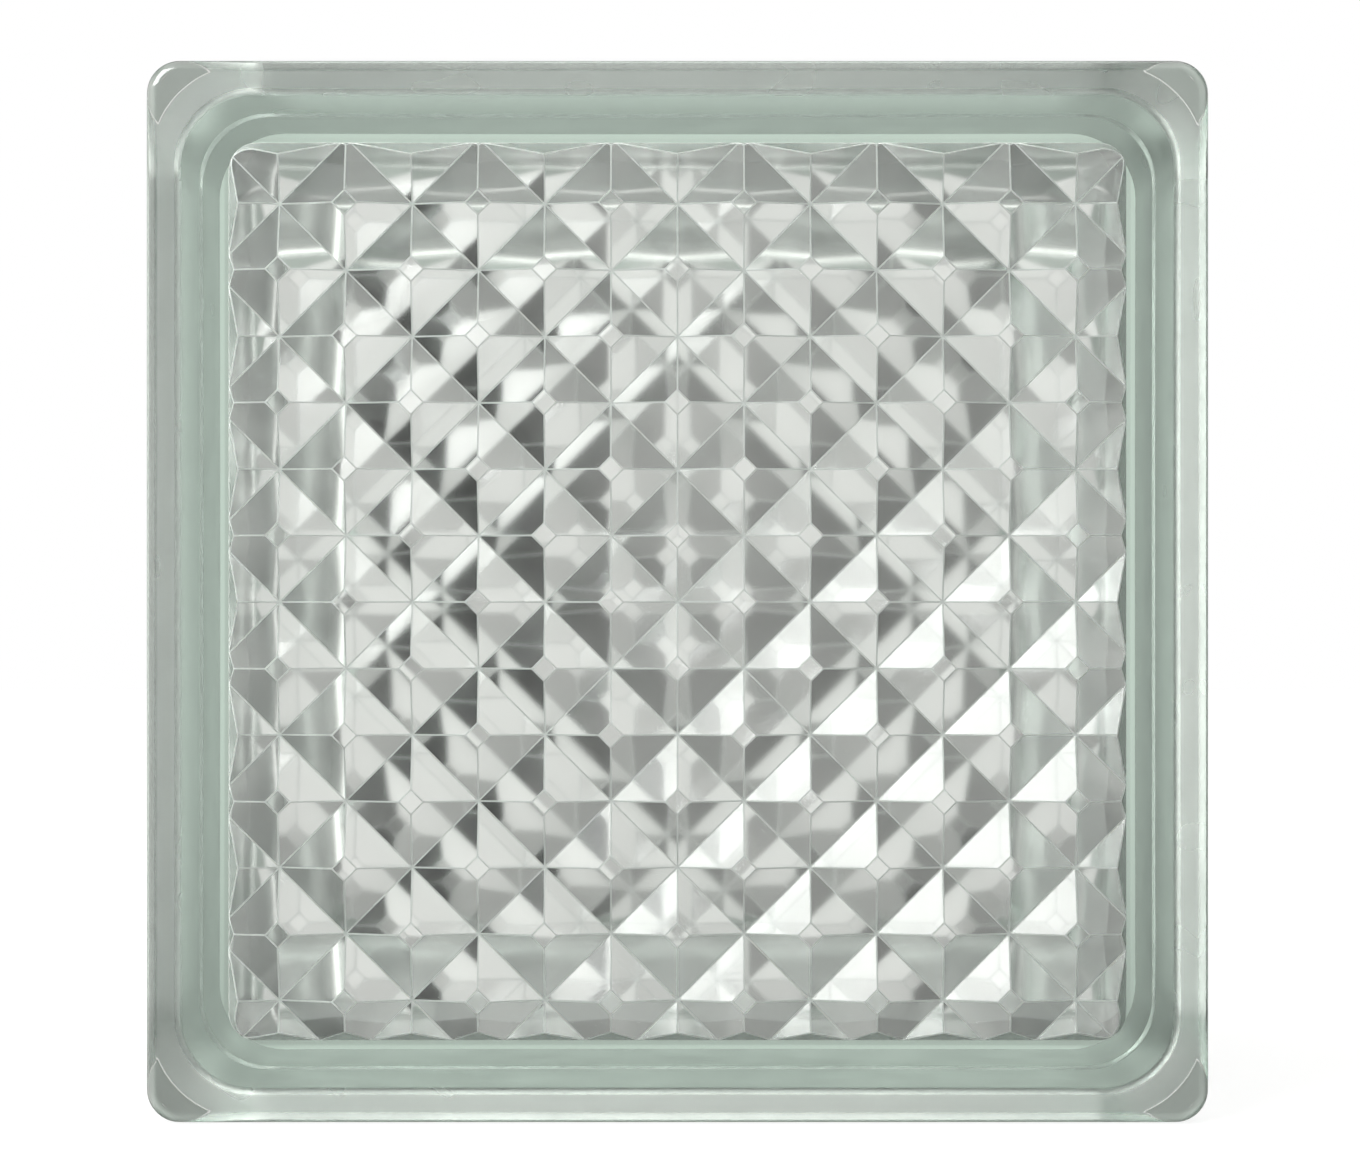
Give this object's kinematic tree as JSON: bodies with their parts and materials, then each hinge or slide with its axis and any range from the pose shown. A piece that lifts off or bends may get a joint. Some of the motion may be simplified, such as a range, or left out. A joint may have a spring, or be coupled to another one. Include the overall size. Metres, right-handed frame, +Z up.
{
  "type": "glass block",
  "caption": "Hollow square pressed-glass building block with flat faces, flat-floored pyramid pits inside both panes, a plain border and a mortar groove round its sides.",
  "frame": {"origin": "centre of the bottom of the block, where its lower lips rest", "axes": "+Z up as laid in a wall, -Y out of the front face, X along the course"},
  "size_m": [0.19, 0.08, 0.19],
  "materials": {
    "clear_glass": "gloss"
  },
  "bodies": {
    "root": {"glass_block": "clear_glass"}
  },
  "joints": []
}
